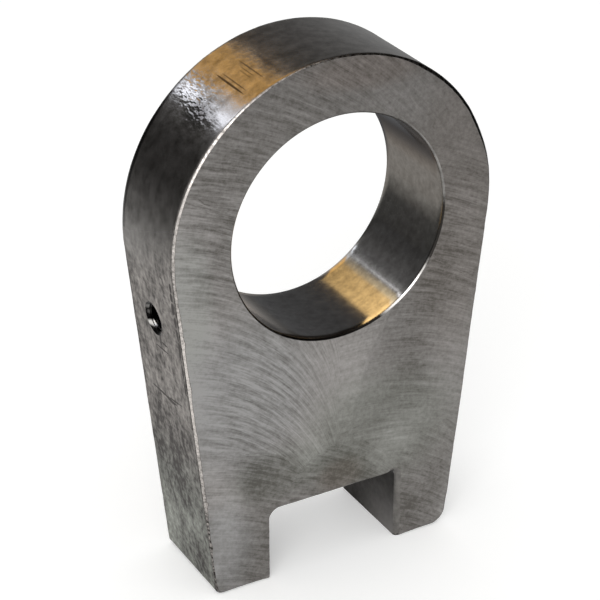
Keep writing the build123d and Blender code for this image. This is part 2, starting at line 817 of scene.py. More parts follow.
def lathe(name: str, profile: list[tuple[float, float]], columns: int) -> Mesh:
    """Turn a profile about the Z axis into a closed mesh with its faces outwards.

    Args:
        name: Name of the mesh.
        profile: Radius and height of each point, from one end of the axis to the other.
        columns: Number of steps round the axis.

    Returns:
        The closed mesh.
    """
    shape = bmesh.new()
    points = [shape.verts.new((radius, 0, height)) for radius, height in profile]
    edges = [shape.edges.new(pair) for pair in zip(points, points[1:])]
    bmesh.ops.spin(
        shape, geom=[*points, *edges], cent=(0, 0, 0), axis=(0, 0, 1), angle=2 * math.pi,
        steps=columns, use_merge=True, use_duplicate=False,
    )
    weld(shape)
    mesh = bpy.data.meshes.new(name)
    shape.to_mesh(mesh)
    shape.free()
    return mesh


def port_frame(sizes: RodEndSizes) -> Matrix:
    """Place of the port: its mouth at the origin and its axis out of the flank along Z."""
    turn = sizes.port_axis.to_track_quat("Z", "Y").to_matrix().to_4x4()
    return Matrix.Translation(sizes.port_mouth) @ turn


def sharpen(mesh: Mesh, limit: float) -> None:
    """Shade a mesh smooth, with creases at steep edges and round the flat faces.

    Args:
        mesh: Mesh to shade.
        limit: Angle between faces above which their edge stays a crease.
    """
    shape = bmesh.new()
    shape.from_mesh(mesh)
    for surface in shape.faces:
        surface.smooth = True
    for edge in shape.edges:
        sides = [f.material_index for f in edge.link_faces]
        rim_of_face = len(set(sides)) == 2 and Region.FACE in sides
        edge.smooth = not rim_of_face and edge.calc_face_angle(0.0) < limit
    shape.to_mesh(mesh)
    shape.free()


@dataclass(frozen=True)
class PortThread:
    """The M10x1 thread in the grease port, as one helical ridge on the tapped wall."""

    sizes: RodEndSizes
    pitch: float = 1.0 * MM
    ridge_height: float = 0.56 * MM
    ridge_root: float = 0.92 * MM
    ridge_crest: float = 0.16 * MM
    seat: float = 0.05 * MM
    steps_per_turn: int = 48
    end_share: float = 0.05
    crease: float = math.radians(40)

    def tree(self) -> NodeTree:
        """Sweep a trapezoid along a helix.

        Returns:
            The Geometry Nodes tree that does it.
        """
        tree = bpy.data.node_groups.new("thread_ridge", "GeometryNodeTree")
        sizes = ("Root Radius", "Length", "Turns", "Ridge Height", "Ridge Root", "Ridge Crest")
        for name in sizes:
            tree.interface.new_socket(name, in_out="INPUT", socket_type="NodeSocketFloat")
        tree.interface.new_socket("Finish", in_out="INPUT", socket_type="NodeSocketMaterial")
        tree.interface.new_socket("Geometry", in_out="OUTPUT", socket_type="NodeSocketGeometry")
        add = partial(add_node, tree)
        given = add("NodeGroupInput").outputs
        helix = add("GeometryNodeCurveSpiral", {
            "Resolution": self.steps_per_turn, "Rotations": given["Turns"],
            "Start Radius": given["Root Radius"], "End Radius": given["Root Radius"],
            "Height": given["Length"],
        })
        upright = add("GeometryNodeSetCurveNormal", {"Curve": helix}, mode="Z_UP")
        share = add("GeometryNodeSplineParameter").outputs["Factor"]
        fade_in = add("ShaderNodeMapRange", {"Value": share, "From Max": self.end_share})
        fade_out = add("ShaderNodeMapRange", {
            "Value": share, "From Min": 1.0, "From Max": 1 - self.end_share,
        })
        fade = add("ShaderNodeMath", {0: fade_in, 1: fade_out}, operation="MINIMUM")
        tapered = add("GeometryNodeSetCurveRadius", {"Curve": upright, "Radius": fade})
        section = add("GeometryNodeCurvePrimitiveQuadrilateral", {
            "Height": given["Ridge Height"], "Bottom Width": given["Ridge Root"],
            "Top Width": given["Ridge Crest"], "Offset": 0.0,
        }, mode="TRAPEZOID")
        swept = add("GeometryNodeCurveToMesh", {
            "Curve": tapered, "Profile Curve": section, "Fill Caps": True,
        })
        real = add("GeometryNodeRealizeInstances", {"Geometry": swept})
        dressed = add("GeometryNodeSetMaterial", {"Geometry": real, "Material": given["Finish"]})
        add("NodeGroupOutput", {"Geometry": dressed})
        return tree

    def build(self, finish: Material) -> Object:
        """Make the ridge and seat it in the port.

        Args:
            finish: Material of the tapped port.

        Returns:
            The finished object.
        """
        s = self.sizes
        length = s.port_length - self.pitch
        mesh = grown(self.tree(), {
            "Root Radius": s.port_radius + self.seat - self.ridge_height / 2,
            "Length": length,
            "Turns": length / self.pitch,
            "Ridge Height": self.ridge_height,
            "Ridge Root": self.ridge_root,
            "Ridge Crest": self.ridge_crest,
            "Finish": finish,
        }, "port_thread")
        sink = Matrix.Translation((0, 0, -s.sink_depth - self.pitch / 4 - length))
        mesh.transform(port_frame(s) @ sink)
        shape = bmesh.new()
        shape.from_mesh(mesh)
        weld(shape)
        shape.to_mesh(mesh)
        shape.free()
        sharpen(mesh, self.crease)
        return link_object("port_thread", mesh)


def grown(tree: NodeTree, values: dict[str, object], name: str) -> Mesh:
    """Run a Geometry Nodes tree once and keep what it makes as a plain mesh.

    Args:
        tree: Tree to run.
        values: Value of each named input.
        name: Name of the mesh.

    Returns:
        The plain mesh.
    """
    host = link_object(name + "_host", bpy.data.meshes.new(name + "_host"))
    run = host.modifiers.new(name, "NODES")
    run.node_group = tree
    for item in tree.interface.items_tree:
        if item.item_type == "SOCKET" and item.in_out == "INPUT":
            run[item.identifier] = values[item.name]
    graph = bpy.context.evaluated_depsgraph_get()
    mesh = bpy.data.meshes.new_from_object(host.evaluated_get(graph))
    mesh.name = name
    bpy.data.objects.remove(host)
    return mesh


class Marks(NamedTuple):
    """What a finish draws on its steel, and the direction of its grain where it has one."""

    colour: Source
    roughness: Source
    height: Source
    grain: Source | None = None


@dataclass(frozen=True)
class Patch:
    """An oval on a flat map of a surface, lighter or darker than the steel round it.

    The map's first and third axis carry it. Its sizes are millimetres, but x and wide are degrees
    on the map of a round wall.
    """

    x: float
    z: float
    wide: float
    high: float
    strength: float = 1.0
    turn: float = 0.0

    def fade(self, add: Add, place: Source) -> NodeSocket:
        """One in the middle of the oval, falling evenly to nothing at its border."""
        local = add("ShaderNodeMapping", {
            "Vector": place, "Location": (self.x * MM, 0, self.z * MM),
            "Rotation": (0, math.radians(self.turn), 0),
            "Scale": (self.wide * MM, 1.0, self.high * MM),
        }, vector_type="TEXTURE")
        return add("ShaderNodeTexGradient", {"Vector": local}, gradient_type="SPHERICAL").outputs["Fac"]


# How far in from its border a crisp patch has its full strength. A soft one has it in the middle.
CRISP = 0.3


def patches(*rows: tuple[float, ...]) -> tuple[Patch, ...]:
    """Patches from rows of x, z, wide, high, strength and, where it isn't level, turn."""
    return tuple(Patch(*row) for row in rows)


def add_patches(
    add: Add,
    place: Source,
    marks: tuple[Patch, ...],
    start: Source | float,
    full_at: float = 1.0,
) -> Source | float:
    """Add marks to a tone.

    Args:
        add: Adds a node to the material.
        place: Map of the surface on which the marks lie.
        marks: The marks.
        start: Tone without them.
        full_at: Share of the way in from its border where a mark has its full strength.

    Returns:
        The tone with the marks.
    """
    total = start
    for mark in marks:
        shape = add("ShaderNodeMapRange", {
            "Value": mark.fade(add, place), "From Max": full_at,
        }, interpolation_type="SMOOTHSTEP")
        total = add("ShaderNodeMath", {0: shape, 1: mark.strength, 2: total}, operation="MULTIPLY_ADD")
    return total


def warped(add: Add, place: Source, cell: float, reach: float) -> Node:
    """Shift coordinates unevenly, so that what lies on them gets a ragged border.

    Args:
        add: Adds a node to the material.
        place: Coordinates to shift.
        cell: Size of the noise's cells.
        reach: Twice the longest shift.

    Returns:
        The shifted coordinates.
    """
    ragged = add("ShaderNodeTexNoise", {
        "Vector": place, "Scale": 1 / cell, "Detail": 3.0,
    }).outputs["Color"]
    shift = add("ShaderNodeVectorMath", {0: ragged, 1: (0.5, 0.5, 0.5)}, operation="SUBTRACT")
    return add("ShaderNodeVectorMath", {0: shift, 1: (reach,) * 3, 2: place}, operation="MULTIPLY_ADD")


def side_map(add: Add, place: Source, edge: float) -> Node:
    """Map what faces sideways by Y and Z.

    Args:
        add: Adds a node to the material.
        place: Object coordinates.
        edge: What lies to the right of this X is off the map.

    Returns:
        The map, with Y on its first axis and Z on its third.
    """
    off = 5.0
    axes = add("ShaderNodeSeparateXYZ", {0: place}).outputs
    right = add("ShaderNodeMath", {0: axes["X"], 1: edge}, operation="GREATER_THAN")
    away = add("ShaderNodeMath", {0: right, 1: off}, operation="MULTIPLY")
    return add("ShaderNodeCombineXYZ", {"X": axes["Y"], "Y": away, "Z": axes["Z"]})


def round_map(add: Add, place: Source, x: float = 0.0, z: float = 0.0) -> Node:
    """Map a round wall.

    Args:
        add: Adds a node to the material.
        place: Object coordinates.
        x: X of the wall's axis.
        z: Z of the wall's axis.

    Returns:
        The map: the angle on its first axis, MM for each degree, and Y on its third.
    """
    centred = add("ShaderNodeVectorMath", {0: place, 1: (x, 0, z)}, operation="SUBTRACT")
    axes = add("ShaderNodeSeparateXYZ", {0: centred}).outputs
    turn = add("ShaderNodeMath", {0: axes["Z"], 1: axes["X"]}, operation="ARCTAN2")
    around = add("ShaderNodeMath", {0: turn, 1: math.degrees(MM)}, operation="MULTIPLY")
    return add("ShaderNodeCombineXYZ", {"X": around, "Z": axes["Y"]})


@dataclass(frozen=True)
class SteelFinish:
    """A bare steel surface. Each kind draws its own marks; the metal under them is the same."""

    title: str = "bare steel"
    anisotropy: float = 0.0
    relief: float = 0.01 * MM

    def marks(self, add: Add, place: NodeSocket) -> Marks:
        """Draw the marks of this finish.

        Args:
            add: Adds a node to the material.
            place: Object coordinates.

        Returns:
            The marks.
        """
        raise NotImplementedError

    def build(self) -> Material:
        """Make the material.

        Returns:
            A metal with this finish's marks.
        """
        material = bpy.data.materials.new(self.title)
        add = fresh_tree(material)
        marks = self.marks(add, add("ShaderNodeTexCoord").outputs["Object"])
        relief = add("ShaderNodeBump", {
            "Strength": 1.0, "Distance": self.relief, "Height": marks.height,
        })
        inputs = {
            "Base Color": marks.colour, "Metallic": 1.0, "Roughness": marks.roughness,
            "Anisotropic": self.anisotropy, "Normal": relief,
        }
        if marks.grain is not None:
            inputs["Tangent"] = marks.grain
        metal = add("ShaderNodeBsdfPrincipled", inputs)
        add("ShaderNodeOutputMaterial", {"Surface": metal})
        return material


@dataclass(frozen=True)
class CutterPass:
    """One pass of the fly cutter, in millimetres.

    Its arcs have this radius, and the top of each lies at x = middle. They show in the spot, and
    blend is how softly they end at its border.
    """

    middle: float
    radius: float
    spot: Patch | None = None
    blend: float = 0.02


@dataclass(frozen=True)
class FlyCutFace(SteelFinish):
    """Carbon steel faced with a fly cutter in several upright passes.

    The cutter leaves curved scratches about 2 mm apart, which catch the light across their run
    and give the face a low silky grain. The slow light and dark cloudy patches on it are painted
    sheen: the grain's changing reflection, painted into the colour.
    """

    title: str = "fly-cut carbon steel"
    dark: str = "#5d5a56"
    light: str = "#a29f9d"
    anisotropy: float = 0.5
    relief: float = 0.010 * MM
    smooth: float = 0.36
    rough: float = 0.48
    feed: float = 1.9 * MM
    fine_feed: float = 0.6 * MM
    scratch_length: float = 19 * MM
    fine_length: float = 19 / 3 * MM
    fine_share: float = 0.4
    scratch_depth: float = 0.31
    least_scratch: float = 0.2
    grain_cell: float = 1.5 * MM
    grain_range: tuple[float, float] = (0.25, 0.75)
    grain_depth: float = 0.25
    ground_tone: float = 0.36
    grain_relief: float = 0.5
    steepest: float = 0.995
    tint_full_at: float = 0.6
    passes: tuple[CutterPass, ...] = (
        CutterPass(-79.2, 80),
        CutterPass(5, 92, Patch(70, -90, 66, 85)),
        CutterPass(-12, 88, Patch(46, -116, 30, 30)),
        CutterPass(-80, 110, Patch(-42, -103, 31, 28)),
        CutterPass(-50, 105, Patch(1, -102, 21, 19.5)),
        CutterPass(-100, 170, Patch(-5, 75, 80, 70), 0.05),
        CutterPass(-30, 180, Patch(78, 2, 50, 38)),
    )
    # Slow light and dark patches in the face's tone: painted sheen of the cutter's grain.
    painted_sheen_clouds: tuple[Patch, ...] = patches(
        (-36, -46, 40, 56, 0.34), (2, -54, 34, 30, 0.32), (-57, -34, 16, 62, 0.50, -6),
        (-58, 8, 13, 34, 0.36), (-32, -86, 22, 13, -0.30, 14), (-21, -72, 12, 12, 0.20),
        (-25, -116, 9, 26, -0.20), (1, -92.5, 21, 13, -0.27), (-11, -80, 9, 20, 0.28, -12),
        (-45, -98, 14, 44, 0.50), (46, -66, 18, 34, 0.22, -6), (22, -88, 22, 12, 0.34, -30),
        (24, -54, 18, 22, -0.16), (39, -24, 14, 24, -0.18), (24, 40, 24, 14, 0.12),
        (48, 24, 12, 16, 0.10), (29, -119, 9, 16, -0.22), (-48.6, -119, 2.4, 8, 0.2),
        (45, -119, 4, 14, 0.2), (41, -112, 11, 14, -0.16), (11, -98, 10, 8, -0.22),
        (-50, -19, 11, 22, 0.16),
    )
    # Where the scratches show more, or less, than elsewhere.
    quiet: tuple[Patch, ...] = patches(
        (-32, -56, 26, 36, 0.8, -8), (-58, -58, 12, 40, -0.6), (6, -62, 25, 44, -0.7, 8),
        (44, -84, 50, 70, -0.5), (-44, -112, 30, 26, -0.5), (-32, -90, 22, 14, -0.4),
        (2, -96, 28, 16, -0.4), (24, 46, 46, 28, -0.6), (42, 30, 22, 20, -0.4), (-30, 50, 30, 22, -0.3),
        (62, 0, 14, 60, -0.3), (46, 30, 26, 34, -0.6), (-48, 10, 18, 44, 0.3),
    )
    # Weak warm, cool and green casts multiplied into the colour: painted tints of reflected light on
    # neutral steel.
    painted_colour_casts: tuple[tuple[str, Patch], ...] = (
        ("#fafffb", Patch(16, -82, 42, 32)),
        ("#fcfffd", Patch(-24, -88, 24, 14)),
        ("#fff8f5", Patch(1, -96, 12, 9)),
        ("#fbfffd", Patch(-56, -14, 12, 34)),
        ("#fafdff", Patch(-36, -54, 34, 40)),
        ("#fafdff", Patch(-46, -112, 18, 26)),
        ("#fffcfa", Patch(46, -4, 26, 70)),
        ("#fff9f6", Patch(8, 54, 30, 9, turn=4)),
    )
    chips: tuple[Patch, ...] = patches(
        (-57.6, -32, 0.3, 7, -0.6, -4), (-59.5, -15.2, 0.5, 0.8, -0.8), (-52.7, -90.8, 0.5, 0.6, -0.8),
    )

    def cutter_track(self, add: Add, place: NodeSocket) -> tuple[Node, Node, Node]:
        """Coordinates that follow the cutter.

        Args:
            add: Adds a node to the material.
            place: Object coordinates.

        Returns:
            The distance across the scratches, the distance along them, and the way across them.
        """
        axes = add("ShaderNodeSeparateXYZ", {0: place}).outputs
        ragged = warped(add, place, cell=7 * MM, reach=5 * MM)
        first, *others = self.passes
        arcs: list[Node | float] = [first.middle * MM, first.radius * MM]
        for cut in others:
            shows = add("ShaderNodeMapRange", {
                "Value": cut.spot.fade(add, ragged), "From Max": cut.blend,
            })
            for k, size in enumerate((cut.middle, cut.radius)):
                arcs[k] = add("ShaderNodeMix", {0: shows, 2: arcs[k], 3: size * MM})
        middle, radius = arcs
        across = add("ShaderNodeMath", {0: axes["X"], 1: middle}, operation="SUBTRACT")
        share = add("ShaderNodeMath", {0: across, 1: radius}, operation="DIVIDE")
        safe = add("ShaderNodeClamp", {"Value": share, "Min": -self.steepest, "Max": self.steepest})
        angle = add("ShaderNodeMath", {0: safe}, operation="ARCSINE")
        steep = add("ShaderNodeMath", {0: angle}, operation="COSINE")
        drop = add("ShaderNodeMath", {0: 1.0, 1: steep}, operation="SUBTRACT")
        track = add("ShaderNodeMath", {0: drop, 1: radius, 2: axes["Z"]}, operation="MULTIPLY_ADD")
        along = add("ShaderNodeMath", {0: angle, 1: radius}, operation="MULTIPLY")
        return track, along, add("ShaderNodeCombineXYZ", {"X": safe, "Z": steep})

    def marks(self, add: Add, place: NodeSocket) -> Marks:
        """Draw scratches along the cutter's arcs, painted sheen, grain and small chips by the edge.

        Args:
            add: Adds a node to the material.
            place: Object coordinates.

        Returns:
            The marks.
        """
        track, along, way = self.cutter_track(add, place)
        scratches = []
        for feed, length in ((self.feed, self.scratch_length), (self.fine_feed, self.fine_length)):
            u = add("ShaderNodeMath", {0: track, 1: 1 / feed}, operation="MULTIPLY")
            v = add("ShaderNodeMath", {0: along, 1: 1 / length}, operation="MULTIPLY")
            scratches.append(add("ShaderNodeTexNoise", {
                "Vector": add("ShaderNodeCombineXYZ", {"X": u, "Y": v}),
                "Scale": 1.0, "Detail": 2.0, "Roughness": 0.55,
            }, noise_dimensions="2D"))
        grain = add("ShaderNodeTexNoise", {
            "Vector": place, "Scale": 1 / self.grain_cell, "Detail": 3.0, "Roughness": 0.75,
        })
        coarse = add("ShaderNodeMath", {0: scratches[0], 1: 1 - self.fine_share}, operation="MULTIPLY")
        lines = add("ShaderNodeMath", {0: scratches[1], 1: self.fine_share, 2: coarse},
                    operation="MULTIPLY_ADD")
        relief = add("ShaderNodeMath", {0: grain, 1: self.grain_relief, 2: lines},
                     operation="MULTIPLY_ADD")
        drawn = add("ShaderNodeMapRange", {
            "Value": lines, "From Min": NOISE_LOW, "From Max": NOISE_HIGH,
            "To Min": -self.scratch_depth, "To Max": self.scratch_depth,
        }, clamp=False)
        heard = add("ShaderNodeMath", {
            0: add_patches(add, place, self.quiet, 1.0), 1: self.least_scratch,
        }, operation="MAXIMUM")
        soft = warped(add, place, cell=14 * MM, reach=10 * MM)
        # Painted sheen: slow light and dark patches added to the tone.
        painted_sheen_tone = add_patches(add, soft, self.painted_sheen_clouds, self.ground_tone)
        small = warped(add, place, cell=1.2 * MM, reach=0.8 * MM)
        chipped = add_patches(add, small, self.chips, painted_sheen_tone, CRISP)
        lined = add("ShaderNodeMath", {0: drawn, 1: heard, 2: chipped}, operation="MULTIPLY_ADD")
        grained = add("ShaderNodeMapRange", {
            "Value": grain, "From Min": self.grain_range[0], "From Max": self.grain_range[1],
            "To Min": -self.grain_depth, "To Max": self.grain_depth,
        }, clamp=False)
        tone = add("ShaderNodeMath", {0: lined, 1: grained}, operation="ADD", use_clamp=True)
        colour = add("ShaderNodeMix", {0: tone, 6: linear(self.dark), 7: linear(self.light)},
                     data_type="RGBA")
        # Painted colour casts of reflected light.
        for tint, spot in self.painted_colour_casts:
            shape = add("ShaderNodeMapRange", {
                "Value": spot.fade(add, place), "From Max": self.tint_full_at,
            }, interpolation_type="SMOOTHSTEP")
            colour = add("ShaderNodeMix", {0: shape, 6: colour, 7: linear(tint)},
                         data_type="RGBA", blend_type="MULTIPLY")
        roughness = add("ShaderNodeMapRange", {
            "Value": grain, "From Min": NOISE_LOW, "From Max": NOISE_HIGH,
            "To Min": self.smooth, "To Max": self.rough,
        })
        return Marks(colour, roughness, relief, way)


@dataclass(frozen=True)
class CutRim(SteelFinish):
    """The outer wall: turned bright on the head, flame-cut on the flanks.

    The head is smooth along its round and grained across the part, so reflections lie on it as
    bands; small dents break them into glints. Its colour also carries painted highlight where the
    bright strip lies, painted shade in two dark bands and along the back edge, and dark score marks.
    The flanks are dull, marked through their thickness by torch lines, with stain marks and painted
    shade along their back edge.
    """

    title: str = "turned and flame-cut steel rim"
    head_x: float = -1.3 * MM
    head_z: float = 0.3 * MM
    head_dark: str = "#474440"
    head_light: str = "#73706d"
    score_and_shade_colour: str = "#100a06"
    flank_dark: str = "#2f2a27"
    flank_light: str = "#aaa5a0"
    flank_light_low: str = "#a4a79f"
    flank_ground: float = 0.39
    low_flank: tuple[float, float] = (-70 * MM, -92 * MM)
    head_rough: float = 0.24
    flank_rough: float = 0.5
    # The border between flank and head rises over these heights, lower towards the back.
    head_border: tuple[float, float] = (-14 * MM, 12 * MM)
    border_lean: float = 0.4
    anisotropy: float = 0.45
    relief: float = 0.05 * MM
    mottle_cell: float = 4 * MM
    dent: float = 1.5 * MM
    dent_stretch: float = 0.6
    dent_depth: float = 0.12
    dent_gloss: float = 0.02
    # On the head a patch lies at an angle round it, in degrees, and a place through the thickness.
    # Five dark score marks across the head; the last patch is painted shade along its back edge.
    scores_and_edge_shade: tuple[Patch, ...] = patches(
        (120.8, -3.3, 0.42, 10.5, 0.95), (119.4, -4.1, 0.28, 9.0, 0.7), (112.8, -3.7, 0.30, 9.5, 0.7),
        (114.2, -3.6, 0.24, 5.0, 0.6), (115.3, -4.0, 0.22, 4.5, 0.5), (158.0, 18.5, 44.0, 3.2, 1.0),
    )
    # Two dark bands in the head's colour beside the bright bands: painted shade.
    painted_shade_bands: tuple[Patch, ...] = patches(
        (107.6, -5.0, 1.6, 12.0, 0.6), (134.0, -3.0, 7.5, 13.0, 0.75),
    )
    dented: tuple[Patch, ...] = patches(
        (129, 9, 10, 20, 4.2), (135, -3, 10, 16, 3.6), (130, -14, 8, 10, 0.5),
    )
    # Lighter head colour where the bright strip lies, at the front and the back: painted highlight.
    painted_highlights: tuple[Patch, ...] = patches(
        (128, -15.5, 7, 8, 1.0), (129, 10, 5, 10, 0.6),
    )
    waved: tuple[Patch, ...] = patches(
        (116, 0, 22, 44, 4.0),
    )
    # On the left flank a patch lies at a place through the thickness and a height.
    # The last one is painted shade along the back edge; the others are lighter and darker stain marks.
    stains_and_edge_shade: tuple[Patch, ...] = patches(
        (4, -80, 34, 30, -0.24), (16.6, -58, 1.4, 7, -0.35), (-9.2, -43, 2.2, 7, -0.28),
        (12.4, -73, 2.6, 6, -0.22), (0.6, -77, 7, 5, -0.24), (-1, -99, 8, 7, -0.36),
        (12, -108, 8, 12, 0.20), (15, -122, 8, 12, 0.16), (-7, -122, 16, 11, -0.24),
        (18.5, -22, 1.8, 46, -0.5),
    )
    pits: tuple[Patch, ...] = patches(
        (2.0, -57.3, 10.5, 0.5, -0.8, 2), (-3.0, -57.6, 3.5, 0.5, -0.4, 2),
        (-5.4, -56.0, 8.0, 0.36, -0.4, 10), (-1.6, -37.4, 5.0, 0.45, -0.7, 4),
        (-4.3, -34.5, 2.6, 0.5, -0.7, 2), (-15.6, -7.5, 1.0, 1.9, -1.2), (-15.4, -11.2, 1.1, 1.8, -1.4),
        (-15.4, -15.4, 1.2, 2.4, -1.4), (-15.8, -20.4, 0.9, 2.2, -1.2), (-16.0, -25.0, 0.9, 2.4, -1.2),
        (-16.2, -31.0, 0.8, 3.6, -1.0), (-16.2, -39.0, 0.8, 3.2, -1.0), (-16.2, -46.0, 0.8, 2.6, -0.9),
    )
    # Blotches, torch lines and grain: the size of their cells, their detail and their share.
    layers: tuple[tuple[tuple[float, float, float], float, float], ...] = (
        ((5 * MM, 6 * MM, 10 * MM), 4.0, 1.1),
        ((4 * MM, 4 * MM, 0.8 * MM), 2.0, 0.45),
        ((1.8 * MM, 1.8 * MM, 2.6 * MM), 3.0, 1.5),
    )

    def flank_tone(self, add: Add, place: NodeSocket) -> Node:
        """Draw how light the flank is: blotches, torch lines, grain, stain marks, painted shade along
        the back edge, and pits.

        Args:
            add: Adds a node to the material.
            place: Object coordinates.

        Returns:
            The tone, from 0 for dark to 1 for light.
        """
        tone: Node | float = 0.0
        for cell, detail, share in self.layers:
            stretched = add("ShaderNodeVectorMath", {0: place, 1: tuple(1 / c for c in cell)},
                            operation="MULTIPLY")
            layer = add("ShaderNodeTexNoise", {
                "Vector": stretched, "Scale": 1.0, "Detail": detail, "Roughness": 0.6,
            })
            centred = add("ShaderNodeMath", {0: layer, 1: 0.5}, operation="SUBTRACT")
            tone = add("ShaderNodeMath", {0: centred, 1: share, 2: tone}, operation="MULTIPLY_ADD")
        side = side_map(add, place, edge=0.0)
        lifted = add("ShaderNodeMath", {0: tone, 1: self.flank_ground}, operation="ADD")
        soft = warped(add, side, cell=5 * MM, reach=5 * MM)
        stained_and_edge_shaded = add_patches(add, soft, self.stains_and_edge_shade, lifted)
        small = warped(add, side, cell=1.5 * MM, reach=0.7 * MM)
        return add("ShaderNodeClamp", {"Value": add_patches(add, small, self.pits, stained_and_edge_shaded, CRISP)})

    def marks(self, add: Add, place: NodeSocket) -> Marks:
        """Draw dents, score marks, painted highlight and painted shade on the head, and torch lines,
        stain marks and painted shade on the flanks.

        Args:
            add: Adds a node to the material.
            place: Object coordinates.

        Returns:
            The marks.
        """
        axes = add("ShaderNodeSeparateXYZ", {0: place}).outputs
        hammered = add("ShaderNodeMapping", {
            "Vector": place,
            "Scale": (1 / self.dent, self.dent_stretch / self.dent, 1 / self.dent),
        })
        dents = add("ShaderNodeTexNoise", {
            "Vector": hammered, "Scale": 1.0, "Detail": 1.0, "Roughness": 0.5,
        })
        leaned = add("ShaderNodeMath", {0: axes["Y"], 1: self.border_lean, 2: axes["Z"]},
                     operation="MULTIPLY_ADD")
        on_head = add("ShaderNodeMapRange", {
            "Value": leaned, "From Min": self.head_border[0], "From Max": self.head_border[1],
        }, interpolation_type="SMOOTHSTEP")
        mottle = add("ShaderNodeTexNoise", {
            "Vector": place, "Scale": 1 / self.mottle_cell, "Detail": 4.0, "Roughness": 0.6,
        })
        around = round_map(add, place, self.head_x, self.head_z)
        shade = add("ShaderNodeMapRange", {
            "Value": mottle, "From Min": NOISE_LOW, "From Max": NOISE_HIGH,
        })
        head = add("ShaderNodeMix", {
            # Painted highlight lightens the mottled head colour.
            0: add_patches(add, around, self.painted_highlights, shade),
            6: linear(self.head_dark), 7: linear(self.head_light),
        }, data_type="RGBA")
        # Painted shade bands, then the score marks and the painted back-edge shade, all in one dark
        # colour.
        painted_shade_share = add_patches(add, around, self.painted_shade_bands, 0.0)
        scored_and_shaded = add("ShaderNodeMix", {
            0: add_patches(add, around, self.scores_and_edge_shade, painted_shade_share, CRISP),
            6: head, 7: linear(self.score_and_shade_colour),
        }, data_type="RGBA")
        tone = self.flank_tone(add, place)
        low = add("ShaderNodeMapRange", {
            "Value": axes["Z"], "From Min": self.low_flank[0], "From Max": self.low_flank[1],
        })
        light = add("ShaderNodeMix", {
            0: low, 6: linear(self.flank_light), 7: linear(self.flank_light_low),
        }, data_type="RGBA")
        flank = add("ShaderNodeMix", {0: tone, 6: linear(self.flank_dark), 7: light}, data_type="RGBA")
        colour = add("ShaderNodeMix", {0: on_head, 6: flank, 7: scored_and_shaded}, data_type="RGBA")
        dull = add("ShaderNodeMapRange", {
            "Value": on_head, "To Min": self.flank_rough, "To Max": self.head_rough,
        })
        struck = add_patches(add, around, self.dented, self.dent_depth)
        roughness = add("ShaderNodeMath", {0: struck, 1: -self.dent_gloss, 2: dull},
                        operation="MULTIPLY_ADD")
        waves = add("ShaderNodeMath", {
            0: mottle, 1: add_patches(add, around, self.waved, 0.0),
        }, operation="MULTIPLY")
        deep = add("ShaderNodeMath", {0: dents, 1: struck, 2: waves}, operation="MULTIPLY_ADD")
        height = add("ShaderNodeMix", {0: on_head, 2: tone, 3: deep})
        return Marks(colour, roughness, height, add("ShaderNodeCombineXYZ", {"Y": 1.0}))


@dataclass(frozen=True)
class BoredWall(SteelFinish):
    """Finely bored steel: sharp round its curve and blurred along the bore, as feed marks make it."""

    title: str = "finely bored steel"
    dark: str = "#6f6c68"
    light: str = "#8e8c88"
    anisotropy: float = 0.8
    relief: float = 0.004 * MM
    smooth: float = 0.10
    rough: float = 0.17
    ring_length: float = 40 * MM
    ring_width: float = 0.8 * MM
    soil_cell: float = 3 * MM
    # Brownish painted shade on the bore wall: at the upper right by the front rim, and at the lower
    # left.
    shade: str = "#3e332c"
    shaded: tuple[Patch, ...] = patches(
        (28, 0, 15, 90, 1.0), (50, -18.5, 34, 10, 2.0), (-142, -14, 36, 12, 0.6),
    )

    def marks(self, add: Add, place: NodeSocket) -> Marks:
        """Draw the boring tool's rings, soil, and brown painted shade at the upper right and lower
        left.

        Args:
            add: Adds a node to the material.
            place: Object coordinates.

        Returns:
            The marks.
        """
        rings = add("ShaderNodeMapping", {
            "Vector": place,
            "Scale": (1 / self.ring_length, 1 / self.ring_width, 1 / self.ring_length),
        })
        feed = add("ShaderNodeTexNoise", {"Vector": rings, "Scale": 1.0, "Detail": 2.0})
        soil = add("ShaderNodeTexNoise", {
            "Vector": place, "Scale": 1 / self.soil_cell, "Detail": 4.0, "Roughness": 0.7,
        })
        spread = add("ShaderNodeMapRange", {
            "Value": soil, "From Min": NOISE_LOW, "From Max": NOISE_HIGH,
        })
        clean = add("ShaderNodeMix", {0: spread, 6: linear(self.dark), 7: linear(self.light)},
                    data_type="RGBA")
        # Share of painted shade.
        painted_bore_shade = add("ShaderNodeClamp", {
            "Value": add_patches(add, round_map(add, place), self.shaded, 0.0),
        })
        colour = add("ShaderNodeMix", {0: painted_bore_shade, 6: clean, 7: linear(self.shade)}, data_type="RGBA")
        roughness = add("ShaderNodeMapRange", {
            "Value": soil, "To Min": self.smooth, "To Max": self.rough,
        })
        return Marks(colour, roughness, feed, add("ShaderNodeCombineXYZ", {"Y": 1.0}))


